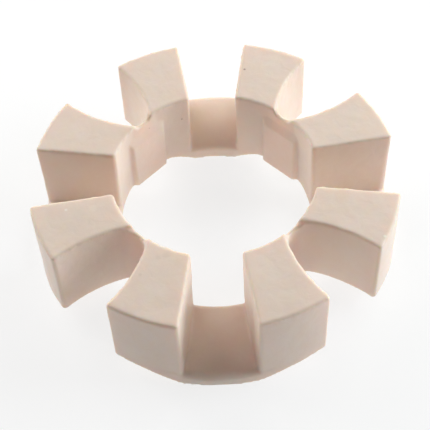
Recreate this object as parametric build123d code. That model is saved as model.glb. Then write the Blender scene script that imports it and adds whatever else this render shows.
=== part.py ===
from build123d import *
import os
from math import radians, sqrt, tan

# Flexible element of a jaw coupling: one ring moulded in cast polyurethane.
# Eight cushions stand round it.  Between them lie, in turn, four slots, each
# closed underneath by a floor, and four pockets, open at top and bottom and
# closed on the inside by a thin web.  One hub's jaws drop into the slots, and
# the other hub's jaws stand in the pockets.
# Origin: on the ring's axis, level with the undersides of the floors.
# +Z points up out of the slots.  The slots lie on +X, +Y, -X and -Y, and the
# pockets lie midway between them.  All sizes are in millimetres.

# Ring
outer_diameter = 200.0
inner_diameter = 111.0
cushion_height = 45.6
slot_count = 4

# Slots, with straight flanks that spread outwards
slot_mouth = 39.4
slot_throat = 27.0
floor_thickness = 9.0

# Feet: the underside hangs below the cushions at each slot, and slopes back
# up to them either side, along radial lines
foot_drop = 8.0
foot_slope_angle = 28.0

# Pockets, with hollow flanks and a round bottom
pocket_mouth = 38.6
pocket_bottom_round = 11.4

# Webs: a flat wall behind each pocket, with a pad proud of it below its top edge
web_inset = 0.8
web_thickness = 2.1
web_top_drop = 2.4
pad_thickness = 2.4
pad_width = 22.8
pad_shoulder = 2.6
pad_top_drop = 3.2
pad_slope_height = 8.0

# Rounded corners and top edges
corner_round = 2.0
top_edge_round = 1.6

# How far cutting shapes run past the ring
cut_overrun = 20.0

outer_radius = outer_diameter / 2
inner_radius = inner_diameter / 2
total_height = foot_drop + cushion_height
slot_pitch = 360.0 / slot_count
pocket_angle = slot_pitch / 2
web_half = pad_width / 2
web_face = inner_radius - web_inset
pad_face = web_face - pad_thickness
web_top = total_height - web_top_drop
pad_top = web_top - pad_top_drop
pocket_bottom = web_face + web_thickness
near = pad_face - cut_overrun
far = outer_radius + cut_overrun


def on_circle(radius, half_width):
    """Distance from the axis at which a line this far to one side meets a circle."""
    return sqrt(radius**2 - half_width**2)


def flank_half_width(distance):
    """Half width of a slot at a distance from the axis."""
    throat_distance = on_circle(inner_radius, slot_throat / 2)
    mouth_distance = on_circle(outer_radius, slot_mouth / 2)
    spread = (slot_mouth - slot_throat) / 2 / (mouth_distance - throat_distance)
    return slot_throat / 2 + spread * (distance - throat_distance)


def outline(*points):
    """A flat face with straight sides through the points."""
    return make_face(Polyline(*points, close=True))


def prism(plan, bottom, top):
    """A plan made solid between two heights."""
    return extrude(Pos(0, 0, bottom) * plan, top - bottom)


def slot_plan():
    """Plan of the slot on +X, run past both circles."""
    near_half = flank_half_width(near)
    far_half = flank_half_width(far)
    return outline((near, -near_half), (far, -far_half), (far, far_half), (near, near_half))


def pocket_plan():
    """Plan of a pocket on +X: two large arcs that run along it at the outer
    circle and cross behind it, with the crossing rounded to make its bottom."""
    half_mouth = pocket_mouth / 2
    depth = outer_radius - pocket_bottom - pocket_bottom_round
    flank_radius = (depth**2 + half_mouth**2 - pocket_bottom_round**2) / (
        2 * (half_mouth - pocket_bottom_round)
    )
    flank = Pos(outer_radius, half_mouth - flank_radius) * Circle(flank_radius)
    crossing = flank & mirror(flank, Plane.XZ)
    bottom_corner = crossing.vertices().sort_by(Axis.X)[0]
    return fillet(bottom_corner, pocket_bottom_round)


def ring_plan():
    """Plan of the whole ring."""
    return Circle(outer_radius) - Circle(inner_radius)


def at_pocket(shape):
    """A shape drawn on +X, turned to the first pocket."""
    return Rot(0, 0, pocket_angle) * shape


def web_strip():
    """Plan of the strip that a web takes up, on +X."""
    return outline((near, -web_half), (far, -web_half), (far, web_half), (near, web_half))


def half_cell():
    """Plan of the ring from the middle of the slot on +X to the middle of the
    first pocket, with the slot cut away."""
    sector = outline((0, 0), (far, 0), (far, far * tan(radians(pocket_angle))))
    return (ring_plan() & sector) - slot_plan()


def cushion_plan():
    """Plan of the cushion between the slot on +X and the first pocket."""
    plan = half_cell() - at_pocket(pocket_plan()) - at_pocket(web_strip())
    by_radius = plan.vertices().sort_by(lambda corner: Vector(corner.X, corner.Y).length)
    mouth_corners = by_radius[-2:]
    slot_corners = plan.vertices().sort_by(Axis.Y)[:2]
    throat_corner = slot_corners.sort_by(Axis.X)[:1]
    return fillet([*mouth_corners, *throat_corner], corner_round)


def foot():
    """The foot under the slot on +X, from its flat sole up to the cushions."""
    sections = []
    for distance in (near, far):
        sole = flank_half_width(distance)
        top = distance * tan(radians(foot_slope_angle))
        corners = [
            (distance, -sole, 0),
            (distance, sole, 0),
            (distance, top, foot_drop),
            (distance, -top, foot_drop),
        ]
        sections.append(make_face(Polyline(*corners, close=True)))
    return loft(sections, ruled=True)


def pad():
    """The pad on a web's inner face, on +X, with its shoulders and sloping top."""
    shoulder_half = web_half + pad_shoulder
    shoulder_face = on_circle(inner_radius, shoulder_half)
    plan = outline(
        (pad_face, -web_half),
        (pad_face, web_half),
        (shoulder_face, shoulder_half),
        (pocket_bottom, shoulder_half),
        (pocket_bottom, -shoulder_half),
        (shoulder_face, -shoulder_half),
    )
    full = prism(plan, foot_drop, total_height)
    side = make_face(
        Polyline(
            (pad_face, 0, foot_drop),
            (pad_face, 0, pad_top - pad_slope_height),
            (web_face, 0, pad_top),
            (pocket_bottom, 0, pad_top),
            (pocket_bottom, 0, foot_drop),
            close=True,
        )
    )
    return full & extrude(side, shoulder_half, both=True)


def cushion():
    """The cushion between the slot on +X and the first pocket, with its half of
    the foot and its shoulder of the pad."""
    body = prism(cushion_plan(), foot_drop, total_height)
    body = fillet(body.faces().sort_by(Axis.Z)[-1].edges(), top_edge_round)
    body = body + (foot() & prism(half_cell(), 0, foot_drop))
    beyond_web = outline((0, -web_half), (far, -web_half), (far, -far), (0, -far))
    shoulder = pad() & prism(beyond_web, 0, total_height)
    return body + at_pocket(shoulder)


def slot_floor():
    """The floor of the slot on +X, from the inner circle to the outer one."""
    return prism(ring_plan() & slot_plan(), 0, floor_thickness)


def pocket_web():
    """The web behind a pocket on +X, with its pad."""
    wall_plan = outline(
        (web_face, -web_half),
        (web_face, web_half),
        (outer_radius, web_half),
        (outer_radius, -web_half),
    ) - pocket_plan()
    wall = prism(wall_plan, foot_drop, web_top)
    strip = prism(web_strip(), 0, total_height)
    return wall + ((pad() & strip) - prism(pocket_plan(), 0, total_height))


os.makedirs("parts", exist_ok=True)

first_cushion = cushion()
other_cushion = mirror(first_cushion, Plane.XZ)
first_floor = slot_floor()
first_web = at_pocket(pocket_web())

for index in range(slot_count):
    turn = Rot(0, 0, index * slot_pitch)
    export_step(turn * other_cushion, f"parts/cushion_{2 * index + 1}.step")
    export_step(turn * first_cushion, f"parts/cushion_{2 * index + 2}.step")
    export_step(turn * first_floor, f"parts/slot_floor_{index + 1}.step")
    export_step(turn * first_web, f"parts/pocket_web_{index + 1}.step")
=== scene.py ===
from math import acos, atan2, cos, hypot, pi, radians, sin, sqrt

import bpy
from mathutils import Matrix, Vector


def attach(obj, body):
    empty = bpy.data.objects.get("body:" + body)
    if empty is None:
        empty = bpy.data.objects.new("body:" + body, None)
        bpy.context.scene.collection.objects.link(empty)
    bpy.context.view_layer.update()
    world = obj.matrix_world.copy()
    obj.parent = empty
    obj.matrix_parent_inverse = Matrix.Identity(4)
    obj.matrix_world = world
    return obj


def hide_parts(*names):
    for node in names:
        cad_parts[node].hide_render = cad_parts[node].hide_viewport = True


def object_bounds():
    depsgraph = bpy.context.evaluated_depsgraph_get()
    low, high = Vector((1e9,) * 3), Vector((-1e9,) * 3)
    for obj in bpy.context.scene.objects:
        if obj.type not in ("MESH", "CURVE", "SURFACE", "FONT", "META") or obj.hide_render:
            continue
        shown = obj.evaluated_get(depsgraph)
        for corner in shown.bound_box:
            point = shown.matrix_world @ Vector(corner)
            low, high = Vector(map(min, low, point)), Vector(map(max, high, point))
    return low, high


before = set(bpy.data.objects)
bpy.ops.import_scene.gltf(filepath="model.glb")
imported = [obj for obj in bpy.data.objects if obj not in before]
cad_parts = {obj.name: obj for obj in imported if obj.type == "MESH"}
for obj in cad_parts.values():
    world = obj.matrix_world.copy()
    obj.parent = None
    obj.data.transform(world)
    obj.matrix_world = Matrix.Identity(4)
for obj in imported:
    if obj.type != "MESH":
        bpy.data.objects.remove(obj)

cad_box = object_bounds()

# ---------------------------------------------------------------------------
# Cushions: eight upright blocks of the ring, each squeezed between a jaw of
# one hub and a jaw of the other.  They are cast with the ring, with soft
# corners where the liquid polyurethane rounded off in the mould.

mm = 0.001
weld = 0.01 * mm
hair = 0.1 * mm
outer_radius = 100.0 * mm
inner_radius = 55.3 * mm
ring_top = cad_box[1].z
underside = 8.0 * mm
slot_mouth_half = 19.7 * mm
slot_throat_half = 12.8 * mm
throat_lean = 0.6 * mm
mouth_lean = -0.6 * mm
lean_fade = 15 * mm
pocket_mouth_half = 19.3 * mm
pocket_bottom = 56.8 * mm
pocket_bottom_round = 11.4 * mm
pocket_turn = radians(45)
inner_draft = 1.1 * mm
outer_draft = 0.6 * mm
corner_round = 2.0 * mm
mouth_round = 3.6 * mm
mouth_round_shrink = 0.5
mouth_reach = 1.2 * mouth_round
rim_round = 1.4 * mm
corner_steps = 6
rim_steps = 5
arc_step = radians(1.5)


def draw_dot(x, y, z):
    """Starts a new mesh as one vertex, in edit mode, ready to be drawn out."""
    bpy.ops.object.select_all(action="DESELECT")
    bpy.ops.mesh.primitive_plane_add(size=mm, location=(0, 0, 0))
    bpy.ops.object.mode_set(mode="EDIT")
    bpy.ops.mesh.merge(type="CENTER")
    bpy.ops.transform.translate(value=(x, y, z))


def draw_arc(centre, angle):
    """Draws an arc about an upright axis; spin counts clockwise as positive."""
    steps = max(2, round(abs(angle) / arc_step))
    bpy.ops.mesh.spin(steps=steps, angle=-angle, center=(*centre, 0), axis=(0, 0, 1))


def on_circle(radius, half_width):
    """Distance from the axis at which a line this far to one side meets a circle."""
    return sqrt(radius**2 - half_width**2)


def angle_at(point, centre=(0, 0)):
    """Direction of a point seen from a centre."""
    return atan2(point[1] - centre[1], point[0] - centre[0])


def select_by_place(kind, test):
    """Selects only the vertices, edges or faces whose middle passes the test."""
    bpy.ops.mesh.select_mode(type=kind)
    bpy.ops.mesh.select_all(action="DESELECT")
    bpy.ops.object.mode_set(mode="OBJECT")
    mesh = bpy.context.object.data
    if kind == "VERT":
        for vertex in mesh.vertices:
            vertex.select = test(vertex.co)
    elif kind == "EDGE":
        for edge in mesh.edges:
            ends = [mesh.vertices[i].co for i in edge.vertices]
            edge.select = test((ends[0] + ends[1]) / 2) and abs(ends[0].z - ends[1].z) < mm
    else:
        for face in mesh.polygons:
            face.select = test(face.center)
    bpy.ops.object.mode_set(mode="EDIT")


def push(test, by, fade=0.0):
    """Moves the vertices that pass the test, and drags their neighbours along."""
    select_by_place("VERT", test)
    bpy.ops.transform.translate(
        value=by,
        use_proportional_edit=fade > 0,
        proportional_edit_falloff="LINEAR",
        proportional_size=max(fade, mm),
    )


def finish_block(name):
    """Merges the seams, turns the faces outward and leaves edit mode."""
    bpy.ops.mesh.select_mode(type="VERT")
    bpy.ops.mesh.select_all(action="SELECT")
    bpy.ops.mesh.remove_doubles(threshold=weld)
    bpy.ops.mesh.normals_make_consistent(inside=False)
    bpy.ops.object.mode_set(mode="OBJECT")
    block = bpy.context.object
    block.name = name
    return block


def shape_with(block, kind, **settings):
    """Adds a modifier with its settings and applies it."""
    bpy.context.view_layer.objects.active = block
    bpy.ops.object.modifier_add(type=kind)
    modifier = block.modifiers[0]
    for setting, value in settings.items():
        setattr(modifier, setting, value)
    bpy.ops.object.modifier_apply(modifier=modifier.name)


def turn_about_ring(block, angle):
    """Turns a block about the ring's axis, in its mesh."""
    block.data.transform(Matrix.Rotation(angle, 4, "Z"))


# A pocket's flanks are arcs centred level with the outer circle.
pocket_depth = outer_radius - pocket_bottom - pocket_bottom_round
flank_radius = (pocket_depth**2 + pocket_mouth_half**2 - pocket_bottom_round**2) / (
    2 * (pocket_mouth_half - pocket_bottom_round)
)
flank_drop = flank_radius - pocket_mouth_half
flank_reach = hypot(outer_radius, flank_drop)
flank_bearing = pocket_turn + atan2(flank_drop, outer_radius)
flank_centre = (flank_reach * cos(flank_bearing), flank_reach * sin(flank_bearing))


def flank_meets(radius):
    """Where the pocket's flank crosses a circle about the ring's axis."""
    spread = acos((radius**2 + flank_reach**2 - flank_radius**2) / (2 * radius * flank_reach))
    bearing = flank_bearing - spread
    return radius * cos(bearing), radius * sin(bearing)


throat = (on_circle(inner_radius, slot_throat_half), slot_throat_half)
mouth = (on_circle(outer_radius, slot_mouth_half), slot_mouth_half)
pocket_rim = flank_meets(outer_radius)
web_end = flank_meets(inner_radius)

draw_dot(*throat, underside)
bpy.ops.mesh.extrude_vertices_move(
    TRANSFORM_OT_translate={"value": (mouth[0] - throat[0], mouth[1] - throat[1], 0)}
)
draw_arc((0, 0), angle_at(pocket_rim) - angle_at(mouth))
draw_arc(
    flank_centre,
    angle_at(web_end, flank_centre) - angle_at(pocket_rim, flank_centre),
)
draw_arc((0, 0), angle_at(throat) - angle_at(web_end))
bpy.ops.mesh.select_all(action="SELECT")
bpy.ops.mesh.remove_doubles(threshold=weld)
bpy.ops.mesh.edge_face_add()
for corner, roundness in (
    (throat, corner_round),
    (mouth, mouth_round),
    (pocket_rim, corner_round),
):
    spot = Vector((*corner, underside))
    select_by_place("VERT", lambda co: (co - spot).length < hair)
    bpy.ops.mesh.bevel(offset=roundness, segments=corner_steps, affect="VERTICES")
select_by_place("FACE", lambda co: True)
bpy.ops.mesh.extrude_region_move(
    TRANSFORM_OT_translate={"value": (0, 0, ring_top - underside)}
)
select_by_place("EDGE", lambda co: co.z > ring_top - hair)
bpy.ops.mesh.bevel(offset=rim_round, segments=rim_steps, affect="EDGES")

# The round at the slot's mouth is tighter at the top than at the foot.
select_by_place(
    "VERT",
    lambda co: co.z > ring_top - 2 * rim_round
    and hypot(co.x - mouth[0], co.y - mouth[1]) < mouth_reach,
)
bpy.ops.transform.resize(
    value=(mouth_round_shrink, mouth_round_shrink, 1),
    center_override=(*mouth, ring_top),
)

# The mould opens upward, so the block's foot stands out a little further.
for corner, lean in ((mouth, mouth_lean), (throat, throat_lean)):
    push(
        lambda co: co.z < underside + hair
        and hypot(co.x - corner[0], co.y - corner[1]) < mouth_reach,
        (0, lean, 0),
        fade=lean_fade,
    )
for low, high, draft in (
    (inner_radius - mm, inner_radius + 2 * mm, inner_draft),
    (outer_radius - 2 * mm, outer_radius + mm, outer_draft),
):
    select_by_place(
        "VERT", lambda co: co.z < underside + hair and low < hypot(co.x, co.y) < high
    )
    growth = 1 + draft / high
    bpy.ops.transform.resize(value=(growth, growth, 1), center_override=(0, 0, 0))
cushion = finish_block("cushion")

# ---------------------------------------------------------------------------
# Slot floors: the ring runs on under each slot, and hangs below the cushions
# as a foot with a flat sole.  Either side the underside sweeps back up.

floor_top = 8.7 * mm
floor_inner = inner_radius + inner_draft
outer_lip_round = 4.2 * mm
inner_lip_round = 2.6 * mm
foot_reach = radians(32.5)
foot_columns = 26
foot_flank = radians(12.0)
column_reach = radians(0.4)
sole_lip = 0.7 * mm
sweep_curve = 1.6

draw_dot(floor_inner, 0, 0)
bpy.ops.mesh.extrude_vertices_move(
    TRANSFORM_OT_translate={"value": (outer_radius + sole_lip - floor_inner, 0, 0)}
)
bpy.ops.mesh.select_all(action="SELECT")
bpy.ops.mesh.extrude_edges_move(TRANSFORM_OT_translate={"value": (0, 0, floor_top)})
bpy.ops.mesh.select_all(action="SELECT")
bpy.ops.mesh.spin(
    steps=foot_columns, angle=-foot_reach, center=(0, 0, 0), axis=(0, 0, 1)
)
for column in range(1, foot_columns + 1):
    bearing = foot_reach * column / foot_columns
    along = max(0.0, (bearing - foot_flank) / (foot_reach - foot_flank))
    lift = underside * (1 - (1 - along) ** sweep_curve)
    if lift > 0:
        select_by_place(
            "VERT",
            lambda co: co.z < floor_top / 2 and abs(angle_at(co) - bearing) < column_reach,
        )
        bpy.ops.transform.translate(value=(0, 0, min(lift, underside)))
select_by_place("FACE", lambda co: abs(co.y) < weld)
bpy.ops.mesh.delete(type="FACE")
slot_floor = finish_block("slot_floor")

# Both top edges of the floor are well rounded where the slot opens.
bpy.ops.object.mode_set(mode="EDIT")
for radius, half_width, roundness in (
    (floor_inner, slot_throat_half + throat_lean, inner_lip_round),
    (outer_radius + sole_lip, slot_mouth_half + mouth_lean, outer_lip_round),
):
    select_by_place(
        "EDGE",
        lambda co: co.z > floor_top - hair
        and abs(hypot(co.x, co.y) - radius) < hair
        and co.y < half_width + mm,
    )
    bpy.ops.mesh.bevel(offset=roundness, segments=corner_steps, affect="EDGES")
bpy.ops.object.mode_set(mode="OBJECT")
shape_with(slot_floor, "MIRROR", use_axis=(False, True, False))

# ---------------------------------------------------------------------------
# Pocket webs: a thin wall behind each pocket ties two cushions together.  Its
# inner face carries a flat pad, which leans back at the top.

web_face = 54.6 * mm
web_half = 13.0 * mm
web_back = 62.9 * mm
web_steps = (0, 4, 6, 9, 13)
web_dips = (3.4 * mm, 3.3 * mm, 1.6 * mm, 0.8 * mm, 0.4 * mm)
pad_face = 52.2 * mm
pad_half = 11.6 * mm
pad_shoulder_half = 14.4 * mm
pad_top = 40.0 * mm
pad_lean = 8.0 * mm
pad_sink = 1.0 * mm

bpy.ops.object.select_all(action="DESELECT")
bpy.ops.mesh.primitive_cube_add(size=1)
bpy.ops.object.mode_set(mode="EDIT")
bpy.ops.transform.resize(value=(web_back - web_face, 2 * web_half, ring_top - underside))
bpy.ops.transform.translate(
    value=((web_back + web_face) / 2, 0, (ring_top + underside) / 2)
)
for place in sorted({side * step for step in web_steps[:-1] for side in (-1, 1)}):
    bpy.ops.mesh.select_all(action="SELECT")
    bpy.ops.mesh.bisect(plane_co=(0, place * mm, 0), plane_no=(0, 1, 0))
for place, dip in zip(web_steps, web_dips):
    select_by_place(
        "VERT", lambda co: co.z > floor_top and abs(abs(co.y) - place * mm) < hair
    )
    bpy.ops.transform.translate(value=(0, 0, -dip))
web = finish_block("pocket_web")

bpy.ops.object.select_all(action="DESELECT")
bpy.ops.mesh.primitive_cylinder_add(
    vertices=96,
    radius=pocket_bottom_round,
    depth=2 * ring_top,
    location=(pocket_bottom + pocket_bottom_round, 0, ring_top / 2),
)
pocket_cutter = bpy.context.object
bpy.ops.object.select_all(action="DESELECT")
web.select_set(True)
shape_with(web, "BOOLEAN", operation="DIFFERENCE", object=pocket_cutter)
bpy.data.objects.remove(pocket_cutter)

bpy.ops.object.select_all(action="DESELECT")
bpy.ops.mesh.primitive_cube_add(size=1)
bpy.ops.object.mode_set(mode="EDIT")
bpy.ops.transform.resize(
    value=(web_face - pad_face + pad_sink, 2 * pad_shoulder_half, pad_top)
)
bpy.ops.transform.translate(
    value=((web_face + pad_face + pad_sink) / 2, 0, underside + pad_top / 2)
)
select_by_place("VERT", lambda co: co.x < pad_face + hair)
bpy.ops.transform.resize(
    value=(1, pad_half / pad_shoulder_half, 1), center_override=(0, 0, 0)
)
select_by_place("VERT", lambda co: co.x < pad_face + hair and co.z > underside + mm)
bpy.ops.transform.translate(value=(0, 0, -pad_lean))
pad = finish_block("pad")

# ---------------------------------------------------------------------------
# The moulding: cushions, floors and webs are one seamless casting, so the
# blocks are copied round the axis and fused, and every joint softened.

slot_turn = pi / 2
grain = 0.7 * mm
most_triangles = 190000

blocks = []
for index in range(4):
    for pattern, angle in (
        (cushion, index * slot_turn),
        (slot_floor, index * slot_turn),
        (web, pocket_turn + index * slot_turn),
        (pad, pocket_turn + index * slot_turn),
    ):
        block = pattern.copy()
        block.data = pattern.data.copy()
        bpy.context.collection.objects.link(block)
        turn_about_ring(block, angle)
        blocks.append(block)
    other_hand = cushion.copy()
    other_hand.data = cushion.data.copy()
    bpy.context.collection.objects.link(other_hand)
    other_hand.data.transform(Matrix.Scale(-1, 4, (0, 1, 0)))
    other_hand.data.flip_normals()
    turn_about_ring(other_hand, index * slot_turn)
    blocks.append(other_hand)
for pattern in (cushion, slot_floor, web, pad):
    bpy.data.objects.remove(pattern)

bpy.ops.object.select_all(action="DESELECT")
for block in blocks:
    block.select_set(True)
element = blocks[0]
bpy.context.view_layer.objects.active = element
bpy.ops.object.join()
element.name = "flexible_element"
element.data.name = "flexible_element"

shape_with(element, "REMESH", mode="VOXEL", voxel_size=grain)
shape_with(element, "SMOOTH", factor=0.5, iterations=4)

# Shrinkage leaves the faces faintly wavy, and the rims are ragged where the
# flash was trimmed off.
rim_low = ring_top - 1.2 * mm
rim_high = ring_top - 0.5 * mm
bpy.ops.object.mode_set(mode="EDIT")
select_by_place("VERT", lambda co: rim_low < co.z < rim_high)
bpy.ops.object.vertex_group_assign_new()
bpy.ops.object.mode_set(mode="OBJECT")
element.vertex_groups[0].name = "rims"
for name, size, height, group in (
    ("shrinkage", 22 * mm, 0.5 * mm, ""),
    ("ripple", 6 * mm, 0.16 * mm, ""),
    ("trimmed_flash", 4.0 * mm, 1.1 * mm, "rims"),
):
    swell = bpy.data.textures.new(name, "CLOUDS")
    swell.noise_scale = size
    shape_with(element, "DISPLACE", texture=swell, strength=height, vertex_group=group)
shape_with(
    element, "DECIMATE", ratio=most_triangles / (2 * len(element.data.polygons))
)
bpy.ops.object.shade_smooth()


def linear(colour):
    """Turns an sRGB hex colour, such as "#d9cabf", to linear light."""
    channels = [int(colour[i : i + 2], 16) / 255 for i in (1, 3, 5)]
    return [
        c / 12.92 if c <= 0.04045 else ((c + 0.055) / 1.055) ** 2.4 for c in channels
    ] + [1]


# Cast polyurethane: cream, semi-matt and slightly see-through, so thin walls
# glow warm.  It is cloudy from mixing, with a fine skin off the mould and a few
# burst bubbles, and its rims carry a painted highlight that makes them paler.
polyurethane = bpy.data.materials.new("cast_polyurethane")
polyurethane.use_nodes = True
tree = polyurethane.node_tree
surface = tree.nodes["Principled BSDF"]
surface.inputs["IOR"].default_value = 1.5
surface.inputs["Subsurface Weight"].default_value = 0.45
surface.inputs["Subsurface Radius"].default_value = (1.0, 0.5, 0.22)
surface.inputs["Subsurface Scale"].default_value = 8 * mm


def add(kind, inputs, **settings):
    """Adds a node, sets its settings, and fills or links its inputs."""
    node = tree.nodes.new("ShaderNode" + kind)
    for setting, value in settings.items():
        setattr(node, setting, value)
    for socket, value in inputs.items():
        if isinstance(value, bpy.types.NodeSocket):
            tree.links.new(value, node.inputs[socket])
        else:
            node.inputs[socket].default_value = value
    return node


where = add("TexCoord", {}).outputs["Object"]
cloud_size = 26 * mm
streak_size = 7 * mm
skin_size = 1.1 * mm  # the real skin is finer; this is as coarse as has to show
bubble_gap = 9 * mm
clouds = add("TexNoise", {"Vector": where, "Scale": 1 / cloud_size, "Detail": 3.0})
streaks = add(
    "TexNoise",
    {"Vector": where, "Scale": 1 / streak_size, "Detail": 4.0, "Distortion": 0.6},
)
skin = add(
    "TexNoise",
    {"Vector": where, "Scale": 1 / skin_size, "Detail": 3.0, "Roughness": 0.6},
)

# A few of the bubbles have burst at the surface, each as a small round pit.
bubbles = add("TexVoronoi", {"Vector": where, "Scale": 1 / bubble_gap})
chance = add("SeparateColor", {"Color": bubbles.outputs["Color"]})
burst = add(
    "MapRange",
    {
        "Value": bubbles.outputs["Distance"],
        "From Min": 0.035,
        "From Max": 0.06,
        "To Min": 1.0,
        "To Max": 0.0,
    },
)
some = add("Math", {0: chance.outputs["Red"], 1: 0.94}, operation="GREATER_THAN")
pits = add(
    "Math",
    {0: burst.outputs["Result"], 1: some.outputs["Value"]},
    operation="MULTIPLY",
)

# The cream of the resin, then streaks, skin, a painted highlight on the rims and pits laid
# over it.
# Pointiness picks out the convex rims, where a paler tone is painted on as a highlight.
edge = add("NewGeometry", {}).outputs["Pointiness"]
cream = add(
    "MixRGB",
    {
        "Fac": clouds.outputs["Fac"],
        "Color1": linear("#e1cebf"),
        "Color2": linear("#ecdbcf"),
    },
)
colour = cream.outputs["Color"]
for amount, low, high, strength, tone in (
    (streaks.outputs["Fac"], 0.35, 0.7, 0.22, "#e6cdb6"),
    (skin.outputs["Fac"], 0.4, 0.75, 0.07, "#c9b3a3"),
    # painted highlight: convex rims lightened towards #f3e8dd
    (edge, 0.53, 0.62, 0.18, "#f3e8dd"),
    (pits.outputs["Value"], 0.0, 1.0, 1.0, "#a98c78"),
):
    share = add(
        "MapRange",
        {"Value": amount, "From Min": low, "From Max": high, "To Max": strength},
    )
    layer = add(
        "MixRGB",
        {"Fac": share.outputs["Result"], "Color1": colour, "Color2": linear(tone)},
    )
    colour = layer.outputs["Color"]

# Handling marks on the tops: one dark speck, some scuffs and two bright nicks.
# Each has its place and size in millimetres, its strength and its colour.
mark_core = 0.4
for spot, size, strength, tone in (
    ((19.4, 76.1, 53.6), 0.95, 0.6, "#7a4b3c"),
    ((-25.5, -54.5, 53.6), 2.6, 0.35, "#d6c2b4"),
    ((-29.6, -55.8, 53.6), 2.0, 0.35, "#d6c2b4"),
    ((-38.4, -66.1, 53.6), 1.2, 0.3, "#cbb4a4"),
    ((-78.3, -23.1, 53.6), 1.0, 0.7, "#f7efe6"),
    ((-64.1, -22.4, 53.6), 2.8, 0.35, "#efe2d6"),
    ((85.9, -47.6, 53.2), 1.1, 0.6, "#fdf6ee"),
):
    away = add(
        "VectorMath", {0: where, 1: [c * mm for c in spot]}, operation="DISTANCE"
    )
    mark = add(
        "MapRange",
        {
            "Value": away.outputs["Value"],
            "From Min": mark_core * size * mm,
            "From Max": size * mm,
            "To Min": strength,
            "To Max": 0.0,
        },
    )
    layer = add(
        "MixRGB",
        {"Fac": mark.outputs["Result"], "Color1": colour, "Color2": linear(tone)},
    )
    colour = layer.outputs["Color"]
tree.links.new(colour, surface.inputs["Base Color"])

# The skin is glossier where the mould was smooth, and lightly uneven all over.
gloss = add(
    "MapRange",
    {
        "Value": streaks.outputs["Fac"],
        "From Min": 0.3,
        "From Max": 0.7,
        "To Min": 0.44,
        "To Max": 0.58,
    },
)
tree.links.new(gloss.outputs["Result"], surface.inputs["Roughness"])
relief = add(
    "Bump", {"Height": skin.outputs["Fac"], "Strength": 0.4, "Distance": 0.03 * mm}
)
for height, strength, depth, sunk in (
    (streaks.outputs["Fac"], 0.5, 0.35 * mm, False),
    (pits.outputs["Value"], 0.6, 0.3 * mm, True),
):
    relief = add(
        "Bump",
        {
            "Height": height,
            "Strength": strength,
            "Distance": depth,
            "Normal": relief.outputs["Normal"],
        },
        invert=sunk,
    )
tree.links.new(relief.outputs["Normal"], surface.inputs["Normal"])
element.data.materials.clear()
element.data.materials.append(polyurethane)
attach(element, "root")
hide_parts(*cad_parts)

# ---------------------------------------------------------------------------
# Stage: a plain pale floor, soft studio light and the camera.  The floor is a
# sheet of matt paper on a table lit from below, so shadows on it stay faint.

floor_width = 12

bpy.ops.object.select_all(action="DESELECT")
bpy.ops.mesh.primitive_plane_add(size=floor_width, location=(0, 0, 0))
floor = bpy.context.object
floor.name = "floor"
paper = bpy.data.materials.new("white_paper")
paper.use_nodes = True
sheet = paper.node_tree.nodes["Principled BSDF"]
sheet.inputs["Base Color"].default_value = linear("#808080")
sheet.inputs["Roughness"].default_value = 0.9
sheet.inputs["Emission Color"].default_value = (1, 1, 1, 1)
sheet.inputs["Emission Strength"].default_value = 0.76
floor.data.materials.append(paper)

# The walls of the studio are pale to look at, but too far off to light the ring.
world = bpy.data.worlds.new("studio")
bpy.context.scene.world = world
world.use_nodes = True
walls = world.node_tree.nodes["Background"]
walls.inputs["Color"].default_value = (1, 1, 1, 1)
seen = world.node_tree.nodes.new("ShaderNodeLightPath")
pale = world.node_tree.nodes.new("ShaderNodeMapRange")
pale.inputs["To Min"].default_value = 0.03
pale.inputs["To Max"].default_value = 0.85
world.node_tree.links.new(seen.outputs["Is Camera Ray"], pale.inputs["Value"])
world.node_tree.links.new(pale.outputs["Result"], walls.inputs["Strength"])


def soft_box(name, place, aim, size, power, tint):
    """Hangs a square studio lamp that looks at a point."""
    lamp = bpy.data.lights.new(name, "AREA")
    lamp.size = size
    lamp.energy = power
    lamp.color = tint
    holder = bpy.data.objects.new(name, lamp)
    bpy.context.collection.objects.link(holder)
    holder.location = place
    holder.rotation_euler = (Vector(aim) - Vector(place)).to_track_quat("-Z", "Y").to_euler()


lamp_aim = (0, 0, 0.02)
lamp_size = 0.8
for name, place, power, tint in (
    ("key_right", (1.26, 0.18, 0.59), 16.5, (0.89, 0.96, 1.0)),
    ("back_right", (0.82, 0.97, 0.59), 9.5, (0.97, 1.0, 0.92)),
    ("back_left", (-0.82, 0.97, 0.59), 9.5, (1.0, 0.95, 0.92)),
    ("left", (-1.16, 0.52, 0.59), 7.5, (0.94, 1.0, 1.0)),
    ("overhead", (0, -0.39, 1.35), 2.2, (1.0, 0.98, 0.98)),
):
    soft_box(name, place, lamp_aim, lamp_size, power, tint)

# The camera looks down at the ring's middle, with the picture tipped slightly.
elevation = radians(52.28)
roll = radians(-2.97)
ring_turn = radians(-1.06)
distance = 0.596
lens_reach = 1036 / 430
aim = Vector((-0.00075, 0.00518, underside))
back = Vector((0, -cos(elevation), sin(elevation)))
right = Vector((1, 0, 0))
up = back.cross(right)
camera_right = cos(roll) * right + sin(roll) * up
camera_up = -sin(roll) * right + cos(roll) * up
pose = Matrix((camera_right, camera_up, back)).transposed().to_4x4()
pose.translation = aim + back * distance
unturn = Matrix.Rotation(-ring_turn, 4, "Z")
lens = bpy.data.cameras.new("camera")
lens.sensor_width = 36
lens.lens = lens.sensor_width * lens_reach
camera = bpy.data.objects.new("camera", lens)
camera.matrix_world = unturn @ pose
bpy.context.collection.objects.link(camera)
bpy.context.scene.camera = camera
bpy.context.scene.view_settings.view_transform = "Standard"
